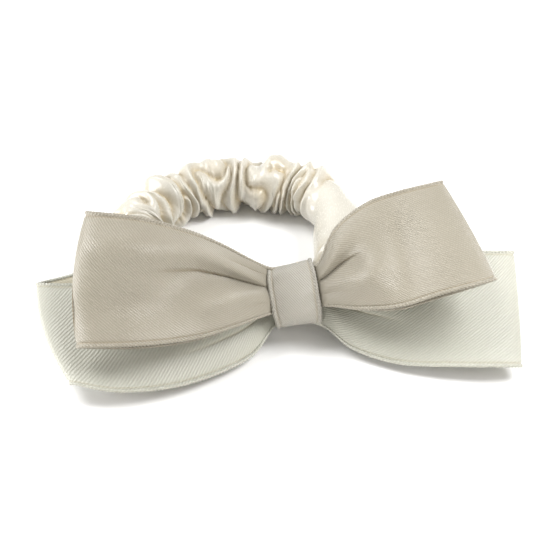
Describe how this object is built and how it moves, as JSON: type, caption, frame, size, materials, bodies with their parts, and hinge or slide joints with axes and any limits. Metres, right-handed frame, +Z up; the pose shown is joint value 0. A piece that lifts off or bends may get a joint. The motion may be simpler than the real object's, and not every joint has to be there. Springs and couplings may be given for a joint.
{
  "type": "bow scrunchie",
  "caption": "Satin bow of looped ribbon, pinched by a narrow ribbon wrap and bound to a gathered elastic hair ring.",
  "frame": {"origin": "middle of the object's footprint, on the surface it lies on", "axes": "+X along the bow, +Y from the bow to the far side of the hair ring, +Z up from the table"},
  "size_m": [0.1414, 0.1019, 0.0432],
  "materials": {
    "ribbon_satin": "ivory satin twill with rolled woven edges",
    "ring_satin": "smooth ivory satin, gathered",
    "thread": "cream sewing thread",
    "elastic": "white braided elastic"
  },
  "bodies": {
    "ring": {"cover_near": "ring_satin", "cover_right": "ring_satin", "cover_left": "ring_satin", "elastic_near": "elastic", "elastic_right": "elastic", "elastic_left": "elastic"},
    "ring_far_side": {"cover_far": "ring_satin", "elastic_far": "elastic", "elastic_join_thread": "thread", "cover_closing_thread": "thread"},
    "bow": {"front_ribbon": "ribbon_satin", "back_ribbon": "ribbon_satin", "front_gather_thread": "thread", "back_gather_thread": "thread", "centre_wrap": "ribbon_satin", "wrap_end_stitches": "thread"}
  },
  "joints": [
    {"name": "ring_stretch", "type": "slide", "parent": "ring", "child": "ring_far_side", "axis": [0, 1, 0], "range_m": [0, 0.04], "stiffness_N_per_m": 40, "deforming": ["cover_right", "cover_left", "elastic_right", "elastic_left"]},
    {"name": "bow_swivel", "type": "hinge", "parent": "ring", "child": "bow", "pos_m": [0.0053, -0.0108, 0.0084], "axis": [1, 0, 0], "range_deg": [-5, 45]}
  ]
}
